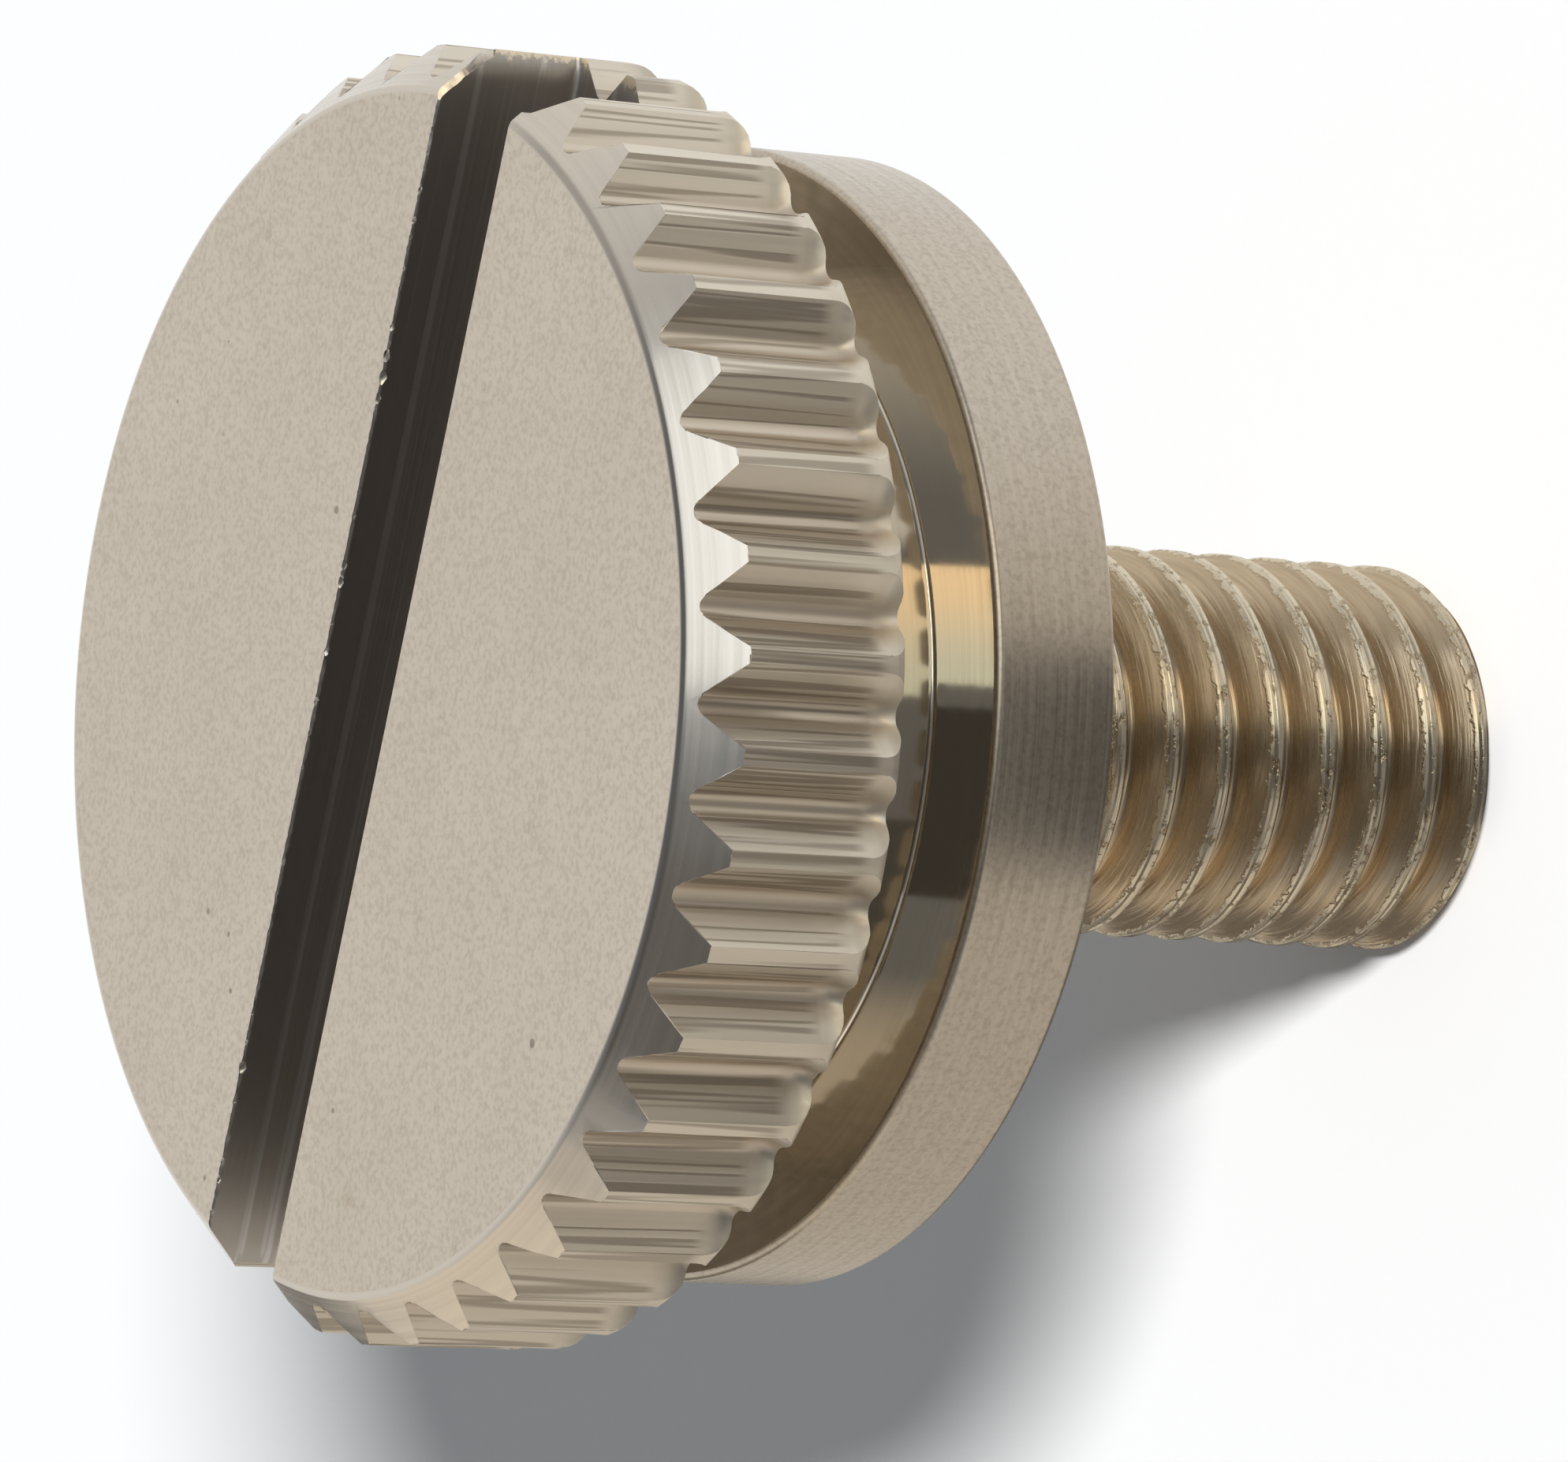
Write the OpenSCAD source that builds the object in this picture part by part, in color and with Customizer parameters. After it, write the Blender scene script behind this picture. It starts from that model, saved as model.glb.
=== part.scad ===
// Knurled thumb screw with a slotted head, a short neck and a collar. Millimetres.
// It stands on its tip at the origin, slotted face up, with the slot along X.

/* [Head] */
// diameter over the ridges of the knurl
head_d = 16; // [15.5:0.5:20]
// thickness of the knurled head
head_h = 2.8; // [2.5:0.1:4]
// 45 degree chamfer round the slotted face
face_chamfer = 0.58; // [0.45:0.01:0.9]
// 45 degree edge break at the back of the knurl
back_break = 0.15; // [0.05:0.01:0.25]

/* [Knurl] */
// number of flutes round the head
flute_count = 42; // [36:2:44]
// width left on top of each ridge
ridge_w = 0.2; // [0.12:0.01:0.35]
// radius at the bottom of each 90 degree flute
flute_bottom_r = 0.2; // [0.1:0.01:0.3]
// length of the ramp where the flutes end at the back
run_out_len = 0.4; // [0.2:0.05:0.8]
// height that the ramp rises to
run_out_rise = 0.16; // [0.05:0.01:0.25]

/* [Slot] */
// width of the driver slot
slot_w = 1.75; // [1.2:0.05:2.5]
// depth of the driver slot
slot_depth = 1.9; // [1:0.05:2.1]
// distance of the slot's middle from the screw's axis
slot_offset = 0.2; // [0:0.05:0.4]
// turn of the slot from the middle of a flute
slot_turn = -5.2; // [-8:0.1:8]

/* [Neck and collar] */
// diameter of the neck between head and collar
neck_d = 11; // [8:0.1:12.5]
// clear gap between head and collar
neck_gap = 1.9; // [1.2:0.05:3]
// diameter of the collar
collar_d = 14.2; // [13:0.1:15]
// thickness of the collar
collar_h = 1.65; // [1.2:0.05:2.5]
// 45 degree edge break on both rims of the collar
collar_break = 0.1; // [0.05:0.01:0.2]

/* [Shank] */
// outside diameter of the M5 thread
thread_d = 5; // [4:0.5:6]
// length of the shank below the collar
thread_len = 9.2; // [6:0.1:14]
// 45 degree chamfer at the tip
tip_chamfer = 0.3; // [0.2:0.05:0.6]

/* [Hidden] */
$fn = 96;
nickel_colour = [0.74, 0.70, 0.64];
overcut = 1;
head_r = head_d / 2;
collar_r = collar_d / 2;
thread_r = thread_d / 2;
// places along the axis, from the slotted face towards the tip
collar_z = head_h + neck_gap;
shank_z = collar_z + collar_h;
tip_z = shank_z + thread_len;
// section of one flute: a 90 degree V with a round bottom
flute_pitch = PI * head_d / flute_count;
flute_half_w = (flute_pitch - ridge_w) / 2;
// distance from the axis to the flat between the two ridge edges of a flute
flute_top = sqrt(head_r * head_r - flute_half_w * flute_half_w);
v_tip_r = flute_top - flute_half_w;
bottom_centre_r = v_tip_r + flute_bottom_r * sqrt(2);
flute_bottom = bottom_centre_r - flute_bottom_r;
// where the flat flanks run into the round bottom
tangent_r = bottom_centre_r - flute_bottom_r / sqrt(2);
tangent_half_w = flute_bottom_r / sqrt(2);

// outline of the turned blank, radius against distance along the axis
module blank_section() {
    polygon([
        [0, 0],
        [head_r - face_chamfer, 0],
        [head_r, face_chamfer],
        [head_r, head_h - back_break],
        [head_r - back_break, head_h],
        [neck_d / 2, head_h],
        [neck_d / 2, collar_z],
        [collar_r - collar_break, collar_z],
        [collar_r, collar_z + collar_break],
        [collar_r, shank_z - collar_break],
        [collar_r - collar_break, shank_z],
        [thread_r, shank_z],
        [thread_r, tip_z - tip_chamfer],
        [thread_r - tip_chamfer, tip_z],
        [0, tip_z]
    ]);
}

// one flute, cut along the whole knurl from in front of the face
module flute() {
    translate([0, 0, -overcut])
        linear_extrude(head_h + 2 * overcut) {
            polygon([
                [tangent_r, -tangent_half_w],
                [flute_top + overcut, -flute_half_w - overcut],
                [flute_top + overcut, flute_half_w + overcut],
                [tangent_r, tangent_half_w]
            ]);
            translate([bottom_centre_r, 0])
                circle(r = flute_bottom_r);
        }
}

// the flutes stop at the head's back, short of the collar
module knurl_cuts() {
    intersection() {
        for (i = [0 : flute_count - 1])
            rotate(i * 360 / flute_count)
                flute();
        translate([0, 0, -overcut])
            cylinder(r = head_r + overcut, h = head_h + overcut + neck_gap / 2);
    }
}

// ramp that closes the flutes' bottoms towards the back of the head
module run_out() {
    translate([0, 0, head_h - run_out_len])
        cylinder(r1 = flute_bottom, r2 = flute_bottom + run_out_rise, h = run_out_len);
}

// saw-cut driver slot across the whole face
module slot() {
    rotate(slot_turn)
        translate([-head_d, slot_offset - slot_w / 2, -overcut])
            cube([2 * head_d, slot_w, slot_depth + overcut]);
}

// the screw as it is turned, slotted face at zero and tip upwards
module screw_as_turned() {
    difference() {
        union() {
            difference() {
                rotate_extrude()
                    blank_section();
                knurl_cuts();
            }
            run_out();
        }
        slot();
    }
}

// stood on its tip, with the slot along X
module thumb_screw() {
    color(nickel_colour)
        translate([0, 0, tip_z])
            rotate([0, 180, slot_turn])
                screw_as_turned();
}

thumb_screw();
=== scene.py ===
# Looks of a nickel-plated brass thumb screw, one turned piece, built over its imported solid.
import math
import random

import bmesh
import bpy
from mathutils import Matrix, Vector


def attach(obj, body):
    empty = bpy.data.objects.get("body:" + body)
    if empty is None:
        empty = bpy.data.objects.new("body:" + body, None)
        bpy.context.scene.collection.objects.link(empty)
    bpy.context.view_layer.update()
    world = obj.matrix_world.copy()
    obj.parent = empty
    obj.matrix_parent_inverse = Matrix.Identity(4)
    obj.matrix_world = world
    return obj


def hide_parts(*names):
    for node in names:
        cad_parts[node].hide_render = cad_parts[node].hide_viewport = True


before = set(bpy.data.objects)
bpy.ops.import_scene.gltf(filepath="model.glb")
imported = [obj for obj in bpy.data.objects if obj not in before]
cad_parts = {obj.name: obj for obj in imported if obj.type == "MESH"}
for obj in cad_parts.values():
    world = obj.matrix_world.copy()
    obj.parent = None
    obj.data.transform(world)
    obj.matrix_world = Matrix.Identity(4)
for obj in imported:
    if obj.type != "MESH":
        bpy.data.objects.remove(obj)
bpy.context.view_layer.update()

# Knurled head
# The head is turned on the end of a brass bar, chamfered round its face and rolled with a straight
# knurl of 42 flutes. One flute is modelled with half a ridge on each side and copied round the axis.
# Lengths are in millimetres here and in the next sections, and the finished screw is scaled to metres.
face_z = 15.55
head_r = 8.0
head_back_z = 12.75
face_chamfer = 0.58
face_edge_round = 0.06
head_back_round = 0.17
face_ring_r = 6.4
neck_r = 5.5
flute_count = 42
flute_pitch = 2 * math.pi / flute_count
steps_per_flute = 4
flute_tip_r = 7.4861
flute_bottom_round = 0.2
flute_wall = 1.5
ramp_z = head_back_z + 0.3
ramp_step = 0.045
ramp_count = 8
ramp_end = math.radians(55)
ramp_way_out = (0.4, 0, -0.3)
arris_round = 0.09
arris_angle = math.radians(30)
same_place = 0.001
merge_gap = 0.0005
screw_axis = (0, 0, 1)
origin = (0, 0, 0)


def draw_outline(name, points):
    """Draws a line from point to point, starting from one vertex, and stays in edit mode."""
    bpy.ops.object.select_all(action="DESELECT")
    bpy.ops.mesh.primitive_plane_add(size=1)
    piece = bpy.context.object
    piece.name = name
    bpy.ops.object.mode_set(mode="EDIT")
    bpy.ops.mesh.select_mode(type="VERT")
    bpy.ops.mesh.merge(type="CENTER")
    bpy.ops.transform.translate(value=points[0])
    for here, there in zip(points, points[1:]):
        step = [b - a for a, b in zip(here, there)]
        bpy.ops.mesh.extrude_region_move(TRANSFORM_OT_translate={"value": step})
    return piece


def fill_outline():
    """Closes the drawn line and fills it with one face."""
    bpy.ops.mesh.select_all(action="SELECT")
    bpy.ops.mesh.edge_face_add()


def choose(piece, kind, test):
    """Selects the vertices, edges or faces whose middle passes the test. Edit mode only."""
    bpy.ops.mesh.select_mode(type=kind)
    bpy.ops.mesh.select_all(action="DESELECT")
    shape = bmesh.from_edit_mesh(piece.data)
    parts = {"VERT": shape.verts, "EDGE": shape.edges, "FACE": shape.faces}[kind]
    for part in parts:
        corners = [part] if kind == "VERT" else part.verts
        middle = sum((corner.co for corner in corners), Vector()) / len(corners)
        if test(middle):
            part.select_set(True)
    bmesh.update_edit_mesh(piece.data)


def round_corner(piece, place, size, segments=3):
    """Rounds one corner of a flat outline."""
    choose(piece, "VERT", lambda at: (at - Vector(place)).length < same_place)
    bpy.ops.mesh.bevel(affect="VERTICES", offset=size, segments=segments)


def merge_and_face_outwards():
    """Merges doubles and points the faces outwards. Edit mode only."""
    bpy.ops.mesh.select_all(action="SELECT")
    bpy.ops.mesh.remove_doubles(threshold=merge_gap)
    bpy.ops.mesh.normals_make_consistent(inside=False)


def combine(piece, tool, operation):
    """Cuts, joins or trims a piece with another solid, which is used up."""
    change = piece.modifiers.new(operation.lower(), "BOOLEAN")
    change.operation = operation
    change.solver = "EXACT"
    change.material_mode = "TRANSFER"
    change.object = tool
    bpy.context.view_layer.objects.active = piece
    bpy.ops.object.modifier_apply(modifier=change.name)
    bpy.data.objects.remove(tool)


sector_outline = [
    (neck_r, 0, head_back_z),
    (face_ring_r, 0, face_z),
    (head_r - face_chamfer, 0, face_z),
    (head_r, 0, face_z - face_chamfer),
    (head_r, 0, head_back_z),
]
head = draw_outline("head", sector_outline)
fill_outline()
round_corner(head, sector_outline[2], face_edge_round)
round_corner(head, sector_outline[4], head_back_round, segments=4)
bpy.ops.mesh.select_all(action="SELECT")
bpy.ops.mesh.spin(steps=steps_per_flute, angle=flute_pitch, center=origin, axis=screw_axis)
merge_and_face_outwards()
bpy.ops.object.mode_set(mode="OBJECT")

above_face = face_z + 1
flute_outline = [
    (flute_tip_r + flute_wall, -flute_wall, above_face),
    (flute_tip_r, 0, above_face),
    (flute_tip_r + flute_wall, flute_wall, above_face),
]
flute = draw_outline("flute", flute_outline)
fill_outline()
round_corner(flute, flute_outline[1], flute_bottom_round, segments=6)
bpy.ops.mesh.select_all(action="SELECT")
straight = (0, 0, ramp_z - above_face)
bpy.ops.mesh.extrude_region_move(TRANSFORM_OT_translate={"value": straight})
for number in range(ramp_count):
    slope = ramp_end * (number + 0.5) / ramp_count
    rise = (ramp_step * math.sin(slope), 0, -ramp_step * math.cos(slope))
    bpy.ops.mesh.extrude_region_move(TRANSFORM_OT_translate={"value": rise})
bpy.ops.mesh.extrude_region_move(TRANSFORM_OT_translate={"value": ramp_way_out})
merge_and_face_outwards()
bpy.ops.object.mode_set(mode="OBJECT")
flute.rotation_euler.z = -flute_pitch / 2
bpy.ops.object.transform_apply(rotation=True)
combine(head, flute, "DIFFERENCE")

bpy.ops.object.mode_set(mode="EDIT")
merge_and_face_outwards()


def on_cut_side(at):
    """Tells the faces where the modelled flute meets the next one, and the wall inside the head."""
    side = abs(math.atan2(at.y, at.x) + flute_pitch / 2) > flute_pitch / 2 - 0.0001
    wall_r = neck_r + (face_ring_r - neck_r) * (at.z - head_back_z) / (face_z - head_back_z)
    return side or math.hypot(at.x, at.y) < wall_r + 0.01


choose(head, "FACE", on_cut_side)
bpy.ops.mesh.delete(type="FACE")
bpy.ops.object.mode_set(mode="OBJECT")

soft = head.modifiers.new("soft_arrises", "BEVEL")
soft.limit_method = "ANGLE"
soft.angle_limit = arris_angle
soft.width = arris_round
soft.segments = 2
bpy.context.view_layer.objects.active = head
bpy.ops.object.modifier_apply(modifier=soft.name)

bpy.ops.object.mode_set(mode="EDIT")
bpy.ops.mesh.select_all(action="SELECT")
bpy.ops.mesh.spin(
    dupli=True,
    steps=flute_count - 1,
    angle=flute_pitch * (flute_count - 1),
    center=origin,
    axis=screw_axis,
)
merge_and_face_outwards()
choose(head, "EDGE", lambda at: at.z > face_z - same_place and at.xy.length < face_ring_r)
bpy.ops.mesh.edge_face_add()
bpy.ops.object.mode_set(mode="OBJECT")


def add_node(tree, kind, inputs=None, **settings):
    """Adds a shader node, with its settings, and its inputs as values or as sockets to link from."""
    made = tree.nodes.new(kind)
    for name, value in settings.items():
        setattr(made, name, value)
    for name, value in (inputs or {}).items():
        if isinstance(value, bpy.types.NodeSocket):
            tree.links.new(value, made.inputs[name])
        else:
            made.inputs[name].default_value = value
    return made


def new_group(name, inputs, outputs):
    """Starts a shader node group and returns its tree, its input sockets and its end node."""
    tree = bpy.data.node_groups.new(name, "ShaderNodeTree")
    for socket, kind in inputs:
        tree.interface.new_socket(socket, in_out="INPUT", socket_type=kind)
    for socket, kind in outputs:
        tree.interface.new_socket(socket, in_out="OUTPUT", socket_type=kind)
    return tree, add_node(tree, "NodeGroupInput").outputs, add_node(tree, "NodeGroupOutput")


def calc(tree, operation, first, second=0.0):
    """Adds a math node and returns its result."""
    made = add_node(tree, "ShaderNodeMath", {0: first, 1: second}, operation=operation)
    return made.outputs[0]


def remap(tree, value, low, high, to_low=0.0, to_high=1.0):
    """Maps a value from one span to another, smoothly and within its ends."""
    spans = {"Value": value, "From Min": low, "From Max": high, "To Min": to_low, "To Max": to_high}
    made = add_node(tree, "ShaderNodeMapRange", spans, interpolation_type="SMOOTHSTEP")
    return made.outputs["Result"]


def blend(tree, share, first, second):
    """Mixes two colours by a share."""
    made = add_node(tree, "ShaderNodeMix", {0: share, 6: first, 7: second}, data_type="RGBA")
    return made.outputs[2]


def noise(tree, vector, scale, detail, roughness=0.5):
    """Adds a noise pattern and returns its value."""
    inputs = {"Vector": vector, "Scale": scale, "Detail": detail, "Roughness": roughness}
    return add_node(tree, "ShaderNodeTexNoise", inputs).outputs[0]


# On the lathe: where a point is on the turned piece, in millimetres
lathe, given, result = new_group(
    "on_the_lathe",
    [("Place", "NodeSocketVector")],
    [
        ("Millimetres", "NodeSocketVector"),
        ("Radius", "NodeSocketFloat"),
        ("Height", "NodeSocketFloat"),
        ("Angle", "NodeSocketFloat"),
        ("Ring", "NodeSocketVector"),
    ],
)
in_mm = add_node(lathe, "ShaderNodeVectorMath", {0: given["Place"], "Scale": 1000.0}, operation="SCALE")
split = add_node(lathe, "ShaderNodeSeparateXYZ", {0: in_mm.outputs[0]})
flat = add_node(lathe, "ShaderNodeCombineXYZ", {0: split.outputs[0], 1: split.outputs[1]})
length = add_node(lathe, "ShaderNodeVectorMath", {0: flat.outputs[0]}, operation="LENGTH")
radius = length.outputs["Value"]
angle = calc(lathe, "ARCTAN2", split.outputs[1], split.outputs[0])
ring_place = add_node(lathe, "ShaderNodeCombineXYZ", {0: radius, 1: split.outputs[2]})
lathe.links.new(in_mm.outputs[0], result.inputs["Millimetres"])
lathe.links.new(radius, result.inputs["Radius"])
lathe.links.new(split.outputs[2], result.inputs["Height"])
lathe.links.new(angle, result.inputs["Angle"])
lathe.links.new(ring_place.outputs[0], result.inputs["Ring"])

# Plating marks: clouds, specks, pits and brown stains in the nickel
marks, given, result = new_group(
    "plating_marks",
    [("Millimetres", "NodeSocketVector")],
    [
        ("Cloud", "NodeSocketFloat"),
        ("Grain", "NodeSocketFloat"),
        ("Pits", "NodeSocketFloat"),
        ("Stains", "NodeSocketFloat"),
    ],
)
cloud = noise(marks, given["Millimetres"], 0.35, 3.0, 0.6)
grain = noise(marks, given["Millimetres"], 14.0, 2.0)
pit_cells = add_node(marks, "ShaderNodeTexVoronoi", {"Vector": given["Millimetres"], "Scale": 1.3})
pit_choice = noise(marks, given["Millimetres"], 0.9, 2.0)
pit_size = remap(marks, pit_choice, 0.4, 0.68, 0.0, 0.1)
pits = remap(marks, calc(marks, "SUBTRACT", pit_size, pit_cells.outputs["Distance"]), 0.0, 0.03)
stains = remap(marks, noise(marks, given["Millimetres"], 1.6, 5.0, 0.7), 0.6, 0.76)
marks.links.new(cloud, result.inputs["Cloud"])
marks.links.new(grain, result.inputs["Grain"])
marks.links.new(pits, result.inputs["Pits"])
marks.links.new(stains, result.inputs["Stains"])


def new_metal(name):
    """Starts a metal and returns it with its tree, shader, place sockets and plating marks."""
    metal = bpy.data.materials.new(name)
    metal.use_nodes = True
    tree = metal.node_tree
    shader = tree.nodes["Principled BSDF"]
    shader.inputs["Metallic"].default_value = 1.0
    place = add_node(tree, "ShaderNodeTexCoord").outputs["Object"]
    where = add_node(tree, "ShaderNodeGroup", node_tree=lathe)
    tree.links.new(place, where.inputs["Place"])
    seen = add_node(tree, "ShaderNodeGroup", node_tree=marks)
    tree.links.new(where.outputs["Millimetres"], seen.inputs["Millimetres"])
    return metal, tree, shader, where.outputs, seen.outputs


def stretched(tree, vector, scales, detail=3.0):
    """Noise stretched by different scales along its three axes, for drawn or turned lines."""
    spread = add_node(tree, "ShaderNodeMapping", {"Vector": vector, "Scale": scales})
    return noise(tree, spread.outputs[0], 1.0, detail)


def dent(tree, shader, height, depth_mm):
    """Presses a height pattern into the surface."""
    bump = add_node(tree, "ShaderNodeBump", {"Height": height, "Distance": depth_mm / 1000, "Strength": 1.0})
    tree.links.new(bump.outputs[0], shader.inputs["Normal"])


def paint(piece, metal, test):
    """Gives a metal to the faces that pass the test. Edit mode only."""
    choose(piece, "FACE", test)
    bpy.ops.object.material_slot_add()
    piece.active_material = metal
    bpy.ops.object.material_slot_assign()


# Painted shade: a dark line round the face's edge, darkest towards one side.
face_edge_shade_side = math.radians(-60)
face_edge_shade_colour = (0.24, 0.22, 0.20, 1)


def paint_face_edge_shade(tree, where, colour):
    """Paints a dark line of shade where the face meets the chamfer, darkest on one side and fading out round
    the rest.
    """
    off_edge = calc(tree, "ABSOLUTE", calc(tree, "SUBTRACT", where["Radius"], head_r - face_chamfer))
    off_side = calc(tree, "ABSOLUTE", calc(tree, "SUBTRACT", where["Angle"], face_edge_shade_side))
    across = remap(tree, off_edge, 0.02, 0.075, 0.65, 0.0)
    around = remap(tree, off_side, 0.8, 1.1, 1.0, 0.0)
    return blend(tree, calc(tree, "MULTIPLY", across, around), colour, face_edge_shade_colour)


pale_satin = (0.70, 0.65, 0.57, 1)
warm_satin = (0.62, 0.56, 0.48, 1)
satin_speck = (0.4, 0.35, 0.29, 1)
brown_stain = (0.42, 0.32, 0.22, 1)
dark_pit = (0.16, 0.13, 0.11, 1)
satin, tree, shader, where, seen = new_metal("satin_face")
colour = blend(tree, seen["Cloud"], pale_satin, warm_satin)
colour = blend(tree, remap(tree, seen["Grain"], 0.4, 0.7, 0.0, 0.24), colour, satin_speck)
colour = blend(tree, calc(tree, "MULTIPLY", seen["Stains"], 0.35), colour, brown_stain)
colour = blend(tree, calc(tree, "MULTIPLY", seen["Pits"], 0.6), colour, dark_pit)
colour = paint_face_edge_shade(tree, where, colour)
tree.links.new(colour, shader.inputs["Base Color"])
tree.links.new(remap(tree, seen["Grain"], 0.2, 0.8, 0.28, 0.42), shader.inputs["Roughness"])
dent(tree, shader, seen["Grain"], 0.002)

bright_line = (0.72, 0.68, 0.62, 1)
dull_line = (0.6, 0.55, 0.48, 1)
bright, tree, shader, where, seen = new_metal("turned_chamfer")
turned_lines = stretched(tree, where["Ring"], (9.0, 9.0, 1.0))
colour = blend(tree, turned_lines, bright_line, dull_line)
colour = paint_face_edge_shade(tree, where, colour)
tree.links.new(colour, shader.inputs["Base Color"])
tree.links.new(remap(tree, turned_lines, 0.3, 0.7, 0.16, 0.28), shader.inputs["Roughness"])

ridge_nickel = (0.74, 0.68, 0.58, 1)
flute_shade_nickel = (0.68, 0.605, 0.505, 1)
score_brown = (0.22, 0.175, 0.13, 1)
flute_tone_r = 7.58
ridge_tone_r = 7.9
rolled, tree, shader, where, seen = new_metal("rolled_knurl")
drawn_lines = stretched(tree, where["Millimetres"], (3.8, 3.8, 0.08), 2.0)
off_score = calc(tree, "ABSOLUTE", calc(tree, "SUBTRACT", drawn_lines, 0.5))
before_ramp = remap(tree, where["Height"], ramp_z - 0.05, ramp_z + 0.2)
scores = calc(tree, "MULTIPLY", remap(tree, off_score, 0.012, 0.06, 1.0, 0.0), before_ramp)
# Painted shade: the nickel turns darker down in the flutes than on the ridges.
painted_flute_shade = remap(tree, where["Radius"], flute_tone_r, ridge_tone_r, 1.0, 0.0)
colour = blend(tree, painted_flute_shade, ridge_nickel, flute_shade_nickel)
colour = blend(tree, calc(tree, "MULTIPLY", scores, 0.56), colour, score_brown)
tree.links.new(colour, shader.inputs["Base Color"])
rough = remap(tree, drawn_lines, 0.3, 0.7, 0.36, 0.5)
rough = calc(tree, "MULTIPLY", rough, remap(tree, before_ramp, 0.0, 1.0, 1.15, 1.0))
tree.links.new(rough, shader.inputs["Roughness"])
groove = calc(tree, "SUBTRACT", drawn_lines, calc(tree, "MULTIPLY", scores, 0.3))
dent(tree, shader, groove, 0.008)

just_below_face = face_z - 0.0025


def on_chamfer(at):
    """Tells the faces that lie on the chamfer's cone."""
    off_cone = at.xy.length - (head_r - face_chamfer) - (face_z - at.z)
    return face_z - face_chamfer - 0.005 < at.z < just_below_face and abs(off_cone) < 0.05


bpy.ops.object.mode_set(mode="EDIT")
paint(head, rolled, lambda at: True)
paint(head, satin, lambda at: at.z > just_below_face)
paint(head, bright, on_chamfer)
bpy.ops.object.mode_set(mode="OBJECT")

# Neck and collar
# Behind the head the bar is turned down to a plain neck, and a collar with broken edges is left
# before the shank. The tool left the collar's front face a little dished and mirror bright.
collar_front_z = 10.85
collar_back_z = 9.2
collar_r = 7.1
face_dish = 0.13
neck_corner_round = 0.05
rim_round = 0.1
rim_band = 0.09
shank_r = 2.5
shank_opening_r = shank_r - 1
turned_rings = 14
ring_depth = 0.0015
tool_chatter = random.Random(11)
collar_face = []
for ring in range(1, turned_rings):
    share = ring / turned_rings
    uneven = tool_chatter.uniform(-ring_depth, ring_depth)
    ring_z = collar_front_z + face_dish * (share - 0.5) + uneven
    collar_face.append((neck_r + (collar_r - neck_r) * share, 0, ring_z))
collar_outline = [
    (neck_r, 0, head_back_z),
    (neck_r, 0, collar_front_z - face_dish / 2),
    *collar_face,
    (collar_r, 0, collar_front_z + face_dish / 2),
    (collar_r, 0, collar_back_z),
    (shank_opening_r, 0, collar_back_z),
]
collar = draw_outline("collar", collar_outline)
fill_outline()
round_corner(collar, collar_outline[1], neck_corner_round)
round_corner(collar, collar_outline[-3], rim_round)
round_corner(collar, collar_outline[-2], rim_round)
bpy.ops.mesh.select_all(action="SELECT")
bpy.ops.mesh.delete(type="ONLY_FACE")
closing_line = (Vector(collar_outline[0]) + Vector(collar_outline[-1])) / 2
choose(collar, "EDGE", lambda at: (at - closing_line).length < same_place)
bpy.ops.mesh.delete(type="EDGE")
bpy.ops.mesh.select_all(action="SELECT")
steps_around = flute_count * steps_per_flute
bpy.ops.mesh.spin(steps=steps_around, angle=2 * math.pi, center=origin, axis=screw_axis)
merge_and_face_outwards()


def at_shank_opening(at):
    """Tells the edges round the opening that the shank's end fills."""
    return at.z < collar_back_z + same_place and at.xy.length < shank_opening_r + same_place


choose(collar, "EDGE", at_shank_opening)
bpy.ops.mesh.edge_face_add()
bpy.ops.object.mode_set(mode="OBJECT")

# Painted light: the collar's cut face has a much darker nickel than the rest, painted shade between head and
# collar, and the neck has a much paler one, a painted highlight.
pale_cut = (0.43, 0.375, 0.295, 1)
dark_cut = (0.31, 0.27, 0.21, 1)
neck_highlight_nickel = (0.90, 0.87, 0.81, 1)
turned, tree, shader, where, seen = new_metal("turned_collar_face")
tool_lines = stretched(tree, where["Ring"], (14.0, 5.0, 1.0), 4.0)
on_neck = remap(tree, where["Radius"], neck_r + 0.01, neck_r + 0.03, 1.0, 0.0)
colour = blend(tree, tool_lines, pale_cut, dark_cut)
colour = blend(tree, on_neck, colour, neck_highlight_nickel)
tree.links.new(colour, shader.inputs["Base Color"])
tree.links.new(remap(tree, tool_lines, 0.3, 0.7, 0.05, 0.09), shader.inputs["Roughness"])

pale_brushing = (0.62, 0.56, 0.48, 1)
dark_brushing = (0.50, 0.44, 0.36, 1)
rim_speck = (0.34, 0.29, 0.23, 1)
brushed, tree, shader, where, seen = new_metal("brushed_rim")
brush_lines = stretched(tree, where["Ring"], (1.0, 11.0, 1.0), 4.0)
colour = blend(tree, brush_lines, pale_brushing, dark_brushing)
colour = blend(tree, remap(tree, seen["Grain"], 0.42, 0.7, 0.0, 0.4), colour, rim_speck)
tree.links.new(colour, shader.inputs["Base Color"])
tree.links.new(remap(tree, brush_lines, 0.3, 0.7, 0.22, 0.34), shader.inputs["Roughness"])
dent(tree, shader, brush_lines, 0.005)

bpy.ops.object.mode_set(mode="EDIT")
paint(collar, turned, lambda at: True)
paint(collar, brushed, lambda at: at.xy.length > collar_r - rim_band)
bpy.ops.object.mode_set(mode="OBJECT")

bpy.ops.object.select_all(action="DESELECT")
collar.select_set(True)
head.select_set(True)
bpy.context.view_layer.objects.active = head
bpy.ops.object.join()
bpy.ops.object.mode_set(mode="EDIT")
merge_and_face_outwards()
bpy.ops.object.mode_set(mode="OBJECT")

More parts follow.
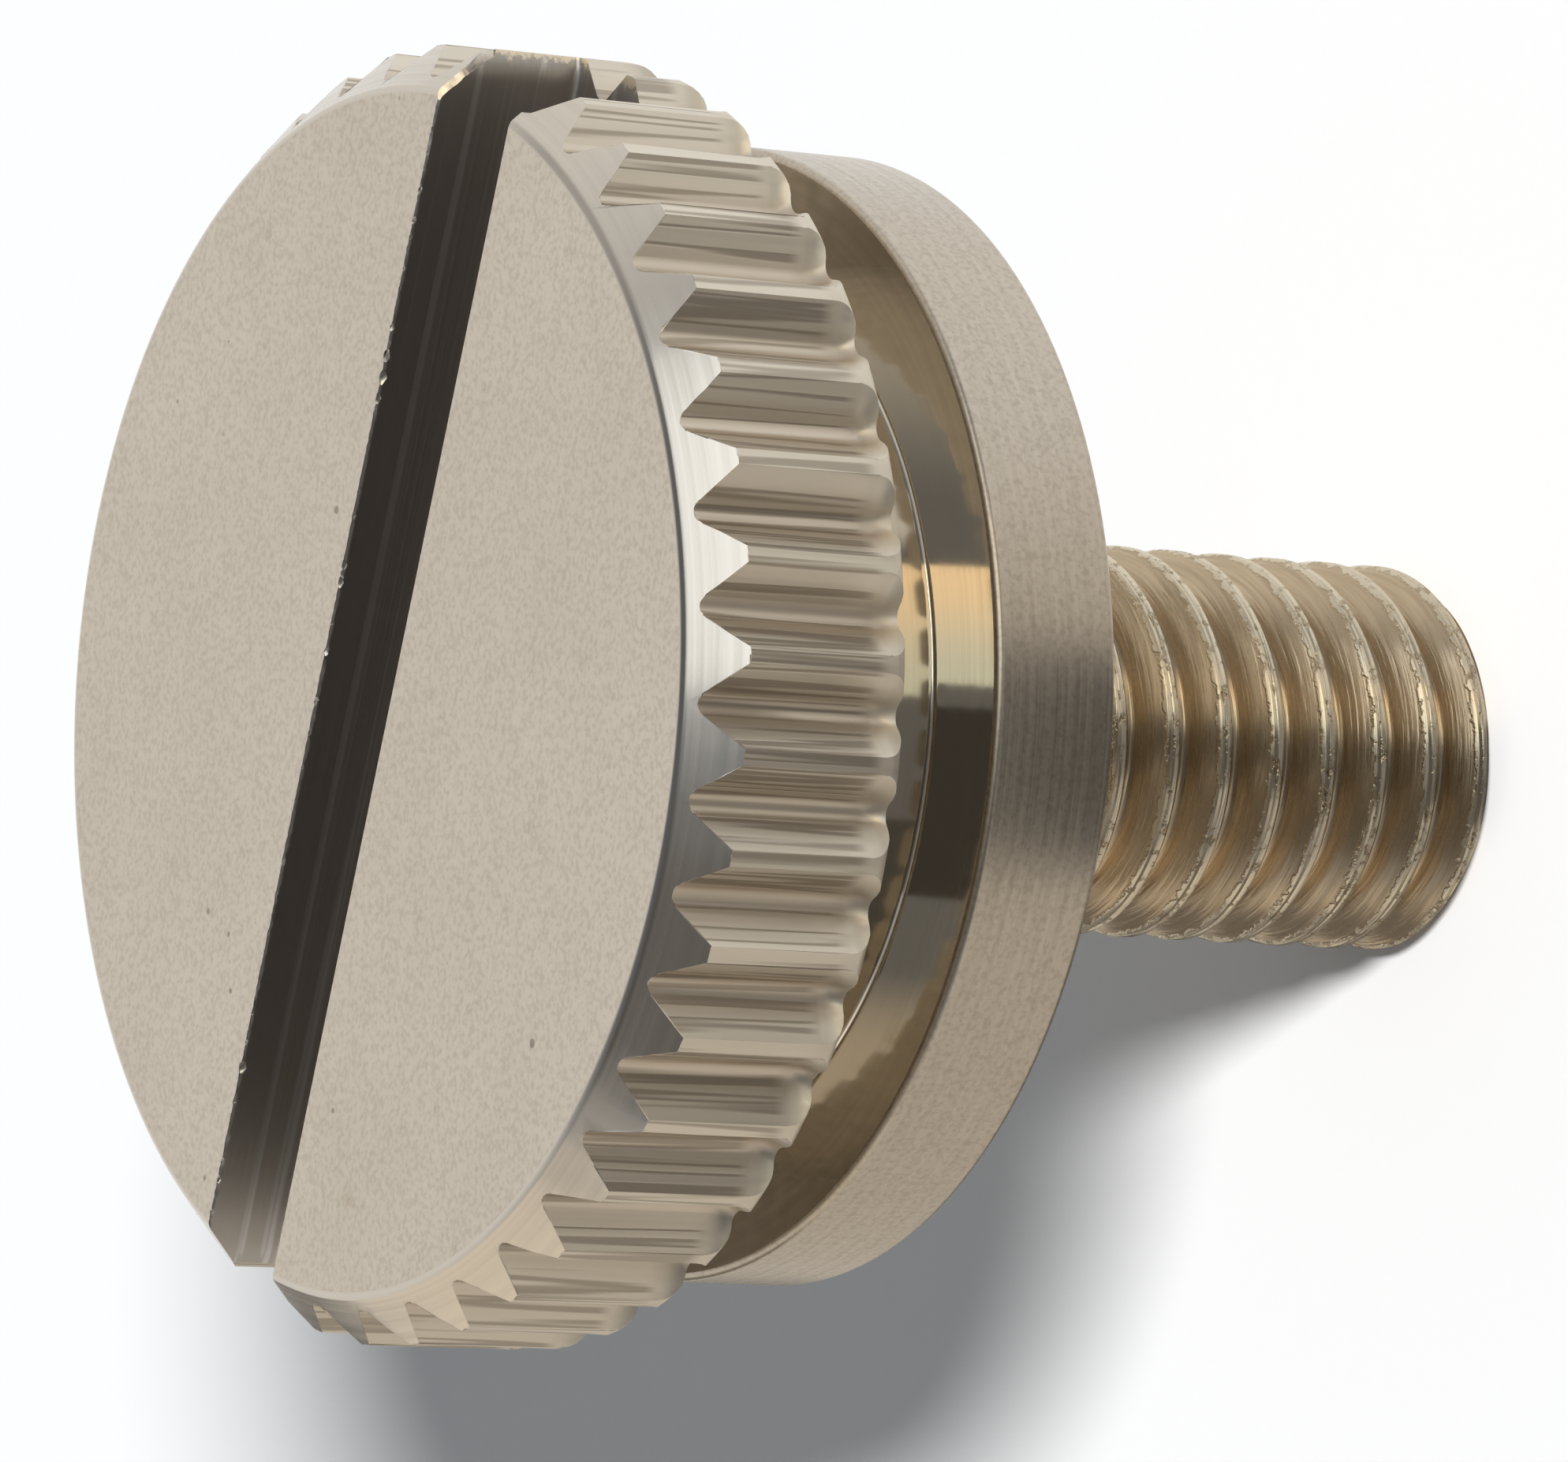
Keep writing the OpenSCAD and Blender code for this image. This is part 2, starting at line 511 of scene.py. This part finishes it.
# Threaded shank
# The M5 shank is thread-rolled, so each crest keeps the faint seam where the metal closed up.
# It runs up into the collar, and its end is chamfered.
thread_pitch = 0.8
thread_lead = -0.24
thread_root_r = 1.956
thread_root_round = 0.19
thread_bottom = -1.6
thread_turns = 15
thread_steps = 96
tip_chamfer = 0.3
into_collar = 0.3
trim_spare = 0.1
envelope_spare = 0.05
under_tip = 0.001
root_corner = (thread_root_r, 0, thread_pitch / 2)
# Half of a crest's section, from the seam in its middle to the flank
half_ridge = [(2.48, 0, 0), (2.492, 0, 0.02), (2.5, 0, 0.065), (2.47, 0, 0.105)]
next_half_ridge = [(x, 0, thread_pitch - z) for x, y, z in reversed(half_ridge)]
groove_outline = [*half_ridge, root_corner, *next_half_ridge]
thread = draw_outline("thread", groove_outline)
round_corner(thread, root_corner, thread_root_round, segments=6)
bpy.ops.mesh.select_all(action="SELECT")
bpy.ops.transform.translate(value=(0, 0, thread_bottom + thread_lead))
bpy.ops.object.mode_set(mode="OBJECT")
winding = thread.modifiers.new("winding", "SCREW")
winding.axis = "Z"
winding.angle = 2 * math.pi
winding.screw_offset = thread_pitch
winding.iterations = thread_turns
winding.steps = thread_steps
winding.render_steps = thread_steps
winding.use_merge_vertices = True
winding.merge_threshold = merge_gap
bpy.ops.object.modifier_apply(modifier=winding.name)
bpy.ops.object.mode_set(mode="EDIT")
merge_and_face_outwards()
for height, upwards in ((0, -1), (collar_back_z + into_collar + trim_spare, 1)):
    bpy.ops.mesh.select_all(action="SELECT")
    bpy.ops.mesh.bisect(
        plane_co=(0, 0, height), plane_no=(0, 0, upwards), use_fill=True, clear_outer=True
    )
merge_and_face_outwards()
bpy.ops.object.mode_set(mode="OBJECT")

envelope_outline = [
    (0, 0, -under_tip),
    (shank_r - tip_chamfer, 0, -under_tip),
    (shank_r + envelope_spare, 0, tip_chamfer + envelope_spare),
    (shank_r + envelope_spare, 0, collar_back_z + into_collar),
    (0, 0, collar_back_z + into_collar),
]
envelope = draw_outline("envelope", envelope_outline)
bpy.ops.mesh.select_all(action="SELECT")
bpy.ops.mesh.spin(steps=thread_steps, angle=2 * math.pi, center=origin, axis=screw_axis)
merge_and_face_outwards()
bpy.ops.object.mode_set(mode="OBJECT")
combine(thread, envelope, "INTERSECT")

pale_flank = (0.70, 0.57, 0.40, 1)
dark_flank = (0.36, 0.28, 0.19, 1)
worn_crest = (0.70, 0.62, 0.48, 1)
pitted_crest = (0.38, 0.32, 0.23, 1)
crest_from_r = 2.45
crest_full_r = 2.48
bronze, tree, shader, where, seen = new_metal("rolled_thread")
thread_lines = stretched(tree, where["Ring"], (16.0, 16.0, 1.0))
colour = blend(tree, thread_lines, pale_flank, dark_flank)
crest_pits = noise(tree, where["Millimetres"], 5.0, 3.0, 0.7)
torn = calc(tree, "MULTIPLY", calc(tree, "SUBTRACT", crest_pits, 0.5), -0.2)
crest = remap(tree, calc(tree, "ADD", where["Radius"], torn), crest_from_r, crest_full_r)
worn = blend(tree, remap(tree, crest_pits, 0.5, 0.66), worn_crest, pitted_crest)
colour = blend(tree, crest, colour, worn)
tree.links.new(colour, shader.inputs["Base Color"])
tree.links.new(remap(tree, thread_lines, 0.3, 0.7, 0.18, 0.32), shader.inputs["Roughness"])
dent(tree, shader, calc(tree, "ADD", thread_lines, crest), 0.01)
bpy.ops.object.mode_set(mode="EDIT")
paint(thread, bronze, lambda at: True)
bpy.ops.object.mode_set(mode="OBJECT")
combine(head, thread, "UNION")
bpy.ops.object.mode_set(mode="EDIT")
merge_and_face_outwards()
bpy.ops.object.mode_set(mode="OBJECT")

# Driver slot
# The slot is sawn right across the finished head, a little off the axis, and its sawn faces are coloured
# darker than the face. Use has chipped and nicked its far lip and worn a small bevel at one end of it.
slot_floor_z = 13.65
slot_w = 1.75
slot_y = 0.2
slot_reach = 9.0
slot_step = 0.06
slot_floor_round = 0.08
flare_from = 7.5
flare_share = 0.16
lip_drop = 0.03
lip_rise = 0.01
lip_spread = 0.02
lip_unevenness = 0.02
slot_turn = math.radians(-0.9143)
near_y = slot_y - slot_w / 2
far_y = slot_y + slot_w / 2
bpy.ops.object.select_all(action="DESELECT")
head.select_set(True)
bpy.context.view_layer.objects.active = head
head.rotation_euler.z = slot_turn
bpy.ops.object.transform_apply(rotation=True)

# Places along the far lip, and radii, of the larger chips
chips = [(3.98, 0.075), (3.7, 0.08), (3.44, 0.06), (1.3, 0.06), (1.08, 0.06), (-5.25, 0.08)]
nicks_start_x = -7.0
nicks_end_x = 6.6
first_nick_x = -7.15
first_nick_r = 0.05
nick_spacing = (0.2, 0.55)
nick_radii = (0.02, 0.05)
clear_of_chips = 0.26
nick_stretch = (1.4, 0.8, 0.9)
nick_unevenness = 0.3
nick_wear = random.Random(8)
small_nicks = []
nick_x = nicks_start_x
while nick_x < nicks_end_x:
    nick_x += nick_wear.uniform(*nick_spacing)
    if all(abs(nick_x - chip_x) > clear_of_chips for chip_x, chip_r in chips):
        small_nicks.append((nick_x, nick_wear.uniform(*nick_radii)))
bpy.ops.object.select_all(action="DESELECT")
bpy.ops.mesh.primitive_ico_sphere_add(
    subdivisions=1, radius=first_nick_r, location=(first_nick_x, far_y, face_z)
)
nicks = bpy.context.object
nicks.name = "nicks"
bpy.ops.object.transform_apply()
bpy.ops.object.mode_set(mode="EDIT")
for nick_x, nick_r in chips + small_nicks:
    place = (nick_x, far_y, face_z)
    bpy.ops.mesh.primitive_ico_sphere_add(subdivisions=1, radius=nick_r, location=place)
    bpy.ops.transform.resize(value=nick_stretch, center_override=place)
    bpy.ops.transform.vertex_random(offset=nick_unevenness * nick_r, seed=round(1000 * nick_r))
paint(nicks, bright, lambda at: True)
bpy.ops.object.mode_set(mode="OBJECT")
combine(head, nicks, "DIFFERENCE")

slot_outline = [
    (-slot_reach, near_y, slot_floor_z),
    (-slot_reach, far_y, slot_floor_z),
    (-slot_reach, far_y, face_z - 2 * lip_drop),
    (-slot_reach, far_y, face_z - lip_drop),
    (-slot_reach, far_y + lip_spread, face_z + lip_rise),
    (-slot_reach, far_y + lip_spread, above_face),
    (-slot_reach, near_y - lip_spread, above_face),
    (-slot_reach, near_y - lip_spread, face_z + lip_rise),
    (-slot_reach, near_y, face_z - lip_drop),
    (-slot_reach, near_y, face_z - 2 * lip_drop),
]
slot = draw_outline("slot", slot_outline)
fill_outline()
round_corner(slot, slot_outline[0], slot_floor_round)
round_corner(slot, slot_outline[1], slot_floor_round)


def slot_flare(along):
    """Width of the slot as a share of its middle width: the cut opens out where it leaves the head."""
    past = max(0.0, abs(along) - flare_from) / (head_r - flare_from)
    return 1 + flare_share * past**3


def widen_slot_end(along, wider):
    """Widens the selected end of the slot's cutter about the slot's middle."""
    bpy.ops.transform.resize(value=(1, wider, 1), center_override=(along, slot_y, slot_floor_z))


bpy.ops.mesh.select_all(action="SELECT")
widen_slot_end(-slot_reach, slot_flare(-slot_reach))
for step in range(round(2 * slot_reach / slot_step)):
    here = -slot_reach + step * slot_step
    there = here + slot_step
    bpy.ops.mesh.extrude_region_move(TRANSFORM_OT_translate={"value": (slot_step, 0, 0)})
    widen_slot_end(there, slot_flare(there) / slot_flare(here))
merge_and_face_outwards()


def on_far_lip(at):
    """Tells the places on the far lip of the cut."""
    return face_z - lip_drop - 0.01 < at.z < face_z + 0.1 and at.y > slot_y


choose(slot, "VERT", on_far_lip)
bpy.ops.transform.vertex_random(offset=lip_unevenness, seed=3)

dark_sawn = (0.47, 0.44, 0.41, 1)
saw_line = (0.62, 0.61, 0.60, 1)
worn_slot_end = (0.84, 0.74, 0.58, 1)
worn_from_x = 7.98
worn_full_x = 8.05
sawn, tree, shader, where, seen = new_metal("sawn_slot")
shader.inputs["Roughness"].default_value = 0.36
saw_lines = stretched(tree, where["Millimetres"], (0.05, 7.0, 7.0), 2.0)
colour = blend(tree, remap(tree, saw_lines, 0.55, 0.68), dark_sawn, saw_line)
along_slot = add_node(tree, "ShaderNodeSeparateXYZ", {0: where["Millimetres"]}).outputs[0]
ragged_end = calc(tree, "ADD", along_slot, calc(tree, "MULTIPLY", seen["Grain"], 0.3))
colour = blend(tree, remap(tree, ragged_end, worn_from_x, worn_full_x), colour, worn_slot_end)
tree.links.new(colour, shader.inputs["Base Color"])
dent(tree, shader, saw_lines, 0.01)
paint(slot, sawn, lambda at: True)
bpy.ops.object.mode_set(mode="OBJECT")
combine(head, slot, "DIFFERENCE")

bevel_start_x = 7.26
bevel_into_chamfer = 0.096
bevel_down_wall = 0.144
bevel_step = 0.055
bevel_count = 13
bevel_unevenness = 0.008
bevel_spare = 0.05
bevel_sink = 0.08
chamfer_slant = 0.707
bevel_z = face_z + head_r - face_chamfer - bevel_start_x - bevel_sink


def bevel_corner(outwards, inwards):
    """A corner of the bevel's cutter, from how far it stands off the chamfer and off the slot's wall."""
    rise = chamfer_slant * outwards
    return (bevel_start_x + rise, far_y + inwards, bevel_z + rise)


bevel_outline = [
    bevel_corner(bevel_spare, bevel_into_chamfer),
    bevel_corner(-bevel_down_wall, -bevel_spare),
    bevel_corner(bevel_spare, -bevel_spare),
]
lip_bevel = draw_outline("lip_bevel", bevel_outline)
fill_outline()
bpy.ops.mesh.select_all(action="SELECT")
for number in range(bevel_count):
    here = bevel_start_x + number * bevel_step
    opening = slot_w / 2 * (slot_flare(here + bevel_step) - slot_flare(here))
    down_chamfer = (bevel_step, opening, -bevel_step)
    bpy.ops.mesh.extrude_region_move(TRANSFORM_OT_translate={"value": down_chamfer})
merge_and_face_outwards()
paint(lip_bevel, bright, lambda at: True)
bpy.ops.mesh.select_all(action="SELECT")
bpy.ops.transform.vertex_random(offset=bevel_unevenness, seed=6)
bpy.ops.object.mode_set(mode="OBJECT")
combine(head, lip_bevel, "DIFFERENCE")

# Finished screw
# The sections above are one turned piece of brass, nickel plated all over. Its knurl is a little
# uneven from the rolling, and its flat faces are shaded flat up to their edges.
knurl_unevenness = 0.011
knurl_bottom_r = 7.45
smooth_below = math.radians(35)
sorting_line = Vector((0.74, 0.52, 0.43))
to_metres = (0.001, 0.001, 0.001)
screw = head
screw.name = "screw"
screw.data.name = "screw"


def on_knurl(at):
    """Tells the places on the knurl's ridges and arches, away from the slot's ends."""
    between = head_back_z + 0.2 < at.z < face_z - 0.05
    return between and at.xy.length > knurl_bottom_r and abs(at.y - slot_y) > slot_w


def off_thread(at):
    """Tells the places that aren't on the thread."""
    return at.z > collar_back_z - 0.01 or at.xy.length > shank_r + 0.01


bpy.ops.object.select_all(action="DESELECT")
screw.select_set(True)
bpy.context.view_layer.objects.active = screw
bpy.ops.object.mode_set(mode="EDIT")
# The cuts leave the vertices in no fixed order, so they are sorted before the random moves.
shape = bmesh.from_edit_mesh(screw.data)
shape.verts.sort(key=lambda vertex: vertex.co.dot(sorting_line))
bmesh.update_edit_mesh(screw.data)
choose(screw, "VERT", on_knurl)
bpy.ops.transform.vertex_random(offset=knurl_unevenness, seed=4)
bpy.ops.object.mode_set(mode="OBJECT")
bpy.ops.object.shade_smooth_by_angle(angle=smooth_below)
bpy.ops.object.mode_set(mode="EDIT")
choose(screw, "VERT", off_thread)
bpy.ops.object.vertex_group_assign_new()
bpy.ops.object.mode_set(mode="OBJECT")
even = screw.modifiers.new("even_normals", "WEIGHTED_NORMAL")
even.keep_sharp = True
even.thresh = 0
even.vertex_group = screw.vertex_groups.active.name
bpy.ops.object.modifier_apply(modifier=even.name)
bpy.ops.object.vertex_group_remove(all=True)
screw.scale = to_metres
bpy.ops.object.transform_apply(scale=True)
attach(screw, "root")
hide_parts("thumb_screw")

# Floor and light
# The screw stands on white paper in soft daylight from one side, in a pale room. Two windows and
# three dark cards show only in the metal's reflections, and light nothing else.
paper_white = (0.985, 0.985, 0.985, 1)
shaded_paper = (0.66, 0.61, 0.54, 1)
lit_paper = (0.95, 0.94, 0.92, 1)
painted_dark_reflection = (0.12, 0.115, 0.11, 1)
wedge_bearing = math.radians(-78)
bpy.ops.object.select_all(action="DESELECT")
bpy.ops.mesh.primitive_plane_add(size=2)
floor = bpy.context.object
floor.name = "floor"
paper = bpy.data.materials.new("white_paper")
paper.use_nodes = True
tree = paper.node_tree
tree.nodes.remove(tree.nodes["Principled BSDF"])
rays = add_node(tree, "ShaderNodeLightPath").outputs
# The camera sees plain white paper. In the metal the paper shows painted light: shaded on one side and lit
# on the other, with a painted dark wedge in front and painted shade near the foot on the head's side.
in_metal = calc(tree, "MAXIMUM", rays["Is Glossy Ray"], rays["Is Transmission Ray"])
place = add_node(tree, "ShaderNodeTexCoord").outputs["Object"]
split = add_node(tree, "ShaderNodeSeparateXYZ", {0: place})
lit_side = remap(tree, calc(tree, "ADD", split.outputs[0], split.outputs[1]), -0.01, 0.02)
mirrored = blend(tree, lit_side, shaded_paper, lit_paper)
bearing = calc(tree, "ARCTAN2", split.outputs[1], split.outputs[0])
off_bearing = calc(tree, "ABSOLUTE", calc(tree, "SUBTRACT", bearing, wedge_bearing))
from_foot = add_node(tree, "ShaderNodeVectorMath", {0: place}, operation="LENGTH").outputs["Value"]
painted_dark_wedge = remap(tree, off_bearing, 0.26, 0.38, 1.0, 0.0)
near_foot = remap(tree, from_foot, 0.0245, 0.0265, 1.0, 0.75)
mirrored = blend(tree, calc(tree, "MULTIPLY", painted_dark_wedge, near_foot), mirrored, painted_dark_reflection)
painted_shade_under_head = remap(tree, from_foot, 0.010, 0.016, 0.85, 0.0)
on_left = remap(tree, split.outputs[0], -0.004, 0.001, 1.0, 0.0)
mirrored = blend(tree, calc(tree, "MULTIPLY", painted_shade_under_head, on_left), mirrored, painted_dark_reflection)
shade = blend(tree, in_metal, paper_white, mirrored)
matt = add_node(tree, "ShaderNodeBsdfDiffuse", {"Color": shade})
tree.links.new(matt.outputs[0], tree.nodes["Material Output"].inputs["Surface"])
floor.data.materials.append(paper)


def reflected_card(name, towards, away, size, along, colours, strength):
    """Stands a card in a direction from the screw, seen only in reflections, shaded from side to side."""
    bpy.ops.object.select_all(action="DESELECT")
    bpy.ops.mesh.primitive_plane_add(size=1)
    card = bpy.context.object
    card.name = name
    out = Vector(towards).normalized()
    side = (Vector(along) - out * out.dot(Vector(along))).normalized()
    turn = Matrix((side, out.cross(side), out)).transposed()
    card.matrix_world = Matrix.LocRotScale(out * away, turn, Vector((*size, 1)))
    card_paint = bpy.data.materials.new(name)
    card_paint.use_nodes = True
    tree = card_paint.node_tree
    tree.nodes.remove(tree.nodes["Principled BSDF"])
    place = add_node(tree, "ShaderNodeTexCoord").outputs["Object"]
    across = add_node(tree, "ShaderNodeSeparateXYZ", {0: place}).outputs[0]
    colour = blend(tree, remap(tree, across, -0.4, 0.4), *colours)
    glow = add_node(tree, "ShaderNodeEmission", {"Color": colour, "Strength": strength})
    tree.links.new(glow.outputs[0], tree.nodes["Material Output"].inputs["Surface"])
    card.data.materials.append(card_paint)
    card.visible_camera = False
    card.visible_diffuse = False
    card.visible_shadow = False


day_light = ((0.95, 0.98, 1, 1), (0.95, 0.98, 1, 1))
warm_light = ((0.66, 0.70, 0.62, 1), (1, 0.81, 0.56, 1))
dim_card_glow = ((1, 0.95, 0.9, 1), (1, 0.95, 0.9, 1))
card_distance = 0.15
reflected_card(
    "roof_window",
    towards=(0.4585, -0.2785, 0.8115),
    away=card_distance,
    size=(0.115, 0.06),
    along=(0.54, 0.44, -0.12),
    colours=day_light,
    strength=1.4,
)
reflected_card(
    "window",
    towards=(0.54, -0.612, 0.575),
    away=card_distance,
    size=(0.07, 0.085),
    along=(0.78, 0.63, 0),
    colours=warm_light,
    strength=2.2,
)
reflected_card(
    "dark_card",
    towards=(-0.385, -0.495, 0.775),
    away=card_distance,
    size=(0.095, 0.09),
    along=(-0.32, 0.12, -0.09),
    colours=dim_card_glow,
    strength=0.15,
)
# Painted shade: this dim card next to the foot puts a dark patch into the thread's underside, as shade under
# the screw would.
reflected_card(
    "shank_shade_card",
    towards=(-0.0255, 0.009, 0.01),
    away=0.0288,
    size=(0.024, 0.0125),
    along=(-0.33, -0.94, 0),
    colours=dim_card_glow,
    strength=0.2,
)
reflected_card(
    "low_dark_card",
    towards=(-0.04, -0.9, 0.43),
    away=card_distance,
    size=(0.115, 0.085),
    along=(1, 0, 0),
    colours=dim_card_glow,
    strength=0.1,
)

lamp_from = Vector((0.47, -0.68, 0.565))
key = bpy.data.lights.new("key", "SUN")
key.energy = 4.4
key.angle = math.radians(11)
key_lamp = bpy.data.objects.new("key", key)
bpy.context.scene.collection.objects.link(key_lamp)
key_lamp.rotation_euler = lamp_from.to_track_quat("Z", "Y").to_euler()
key_lamp.visible_glossy = False

near_wall = (0.30, 0.31, 0.33, 1)
far_wall = (0.86, 0.84, 0.80, 1)
low_left_wall = (0.88, 0.79, 0.66, 1)
ceiling = (0.22, 0.23, 0.25, 1)
soft_fill = (0.21, 0.22, 0.23, 1)
backdrop = (0.95, 0.95, 0.95, 1)
room = bpy.data.worlds.new("room")
bpy.context.scene.world = room
room.use_nodes = True
tree = room.node_tree
direction = add_node(tree, "ShaderNodeTexCoord").outputs["Generated"]
split = add_node(tree, "ShaderNodeSeparateXYZ", {0: direction})
far_side = remap(tree, split.outputs[1], -0.3, 0.7)
walls = blend(tree, far_side, near_wall, far_wall)
left = remap(tree, split.outputs[0], -0.9, -0.65, 1.0, 0.0)
low = remap(tree, split.outputs[2], 0.55, 0.68, 1.0, 0.0)
walls = blend(tree, calc(tree, "MULTIPLY", left, low), walls, low_left_wall)
overhead = remap(tree, split.outputs[2], 0.7, 0.95)
walls = blend(tree, overhead, walls, ceiling)
rays = add_node(tree, "ShaderNodeLightPath").outputs
walls = blend(tree, rays["Is Diffuse Ray"], walls, soft_fill)
walls = blend(tree, rays["Is Camera Ray"], walls, backdrop)
tree.links.new(walls, tree.nodes["Background"].inputs["Color"])
room.cycles.sampling_method = "NONE"

# Camera
# It looks at the slotted face and the knurl from the photograph's side, rolled as that view is.
# Its place, turn and lens come from a fit to the screw's circles.
eye_place = (0.02960, -0.10801, 0.07988)
eye_turn = (5.92308, 57.63410, -67.59749)
eye = bpy.data.cameras.new("eye")
eye.sensor_width = 36
eye.lens = 241.799
eye.clip_start = 0.01
camera = bpy.data.objects.new("eye", eye)
bpy.context.scene.collection.objects.link(camera)
camera.location = eye_place
camera.rotation_euler = [math.radians(turn) for turn in eye_turn]
bpy.context.scene.camera = camera
bpy.context.scene.view_settings.view_transform = "Standard"
